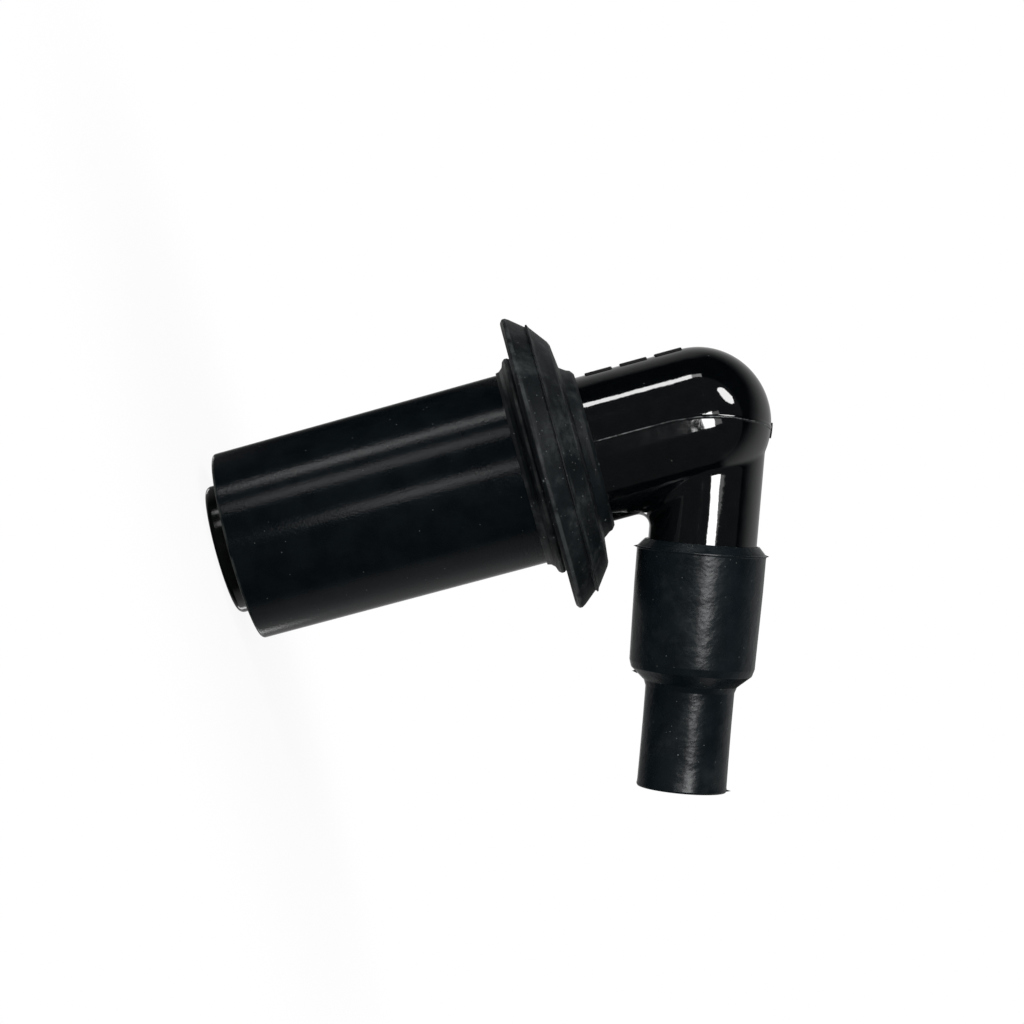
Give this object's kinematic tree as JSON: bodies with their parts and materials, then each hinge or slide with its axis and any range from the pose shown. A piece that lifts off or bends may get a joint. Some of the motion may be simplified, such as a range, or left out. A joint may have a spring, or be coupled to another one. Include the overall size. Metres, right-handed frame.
{
  "type": "spark plug cap",
  "caption": "Right-angled spark plug cap with a sleeved barrel, a rubber well seal, an inner resistor and a rubber boot for the ignition lead.",
  "frame": {"origin": "centre of the mouth plane, on the plug's axis, at the open end of the plug seal", "axes": "+Z along the plug's axis, from the mouth up to the elbow; +X towards the side the lead arm leaves by; the part is symmetric about the XZ plane"},
  "size_m": [0.0573, 0.0332, 0.0629],
  "materials": {
    "phenolic": "polished black phenolic moulding",
    "sleeve_rubber": "satin black rubber, smooth from the mould",
    "plug_seal_rubber": "glossy black rubber",
    "seal_rubber": "matt black rubber with fine specks",
    "boot_rubber": "matt black rubber with fine specks",
    "terminal_brass": "turned brass",
    "screw_brass": "thread-cut brass",
    "spring_steel": "bright drawn spring wire",
    "resistor_ceramic": "off-white fired ceramic"
  },
  "bodies": {
    "root": {"elbow_body": "phenolic", "barrel_sleeve": "sleeve_rubber", "plug_seal": "plug_seal_rubber", "well_seal": "seal_rubber", "lead_boot": "boot_rubber", "socket_terminal": "terminal_brass", "socket_clip": "spring_steel", "resistor_rod": "resistor_ceramic", "resistor_cap_lower": "terminal_brass", "resistor_cap_upper": "terminal_brass", "contact_spring": "spring_steel", "lead_screw": "screw_brass"}
  },
  "joints": []
}
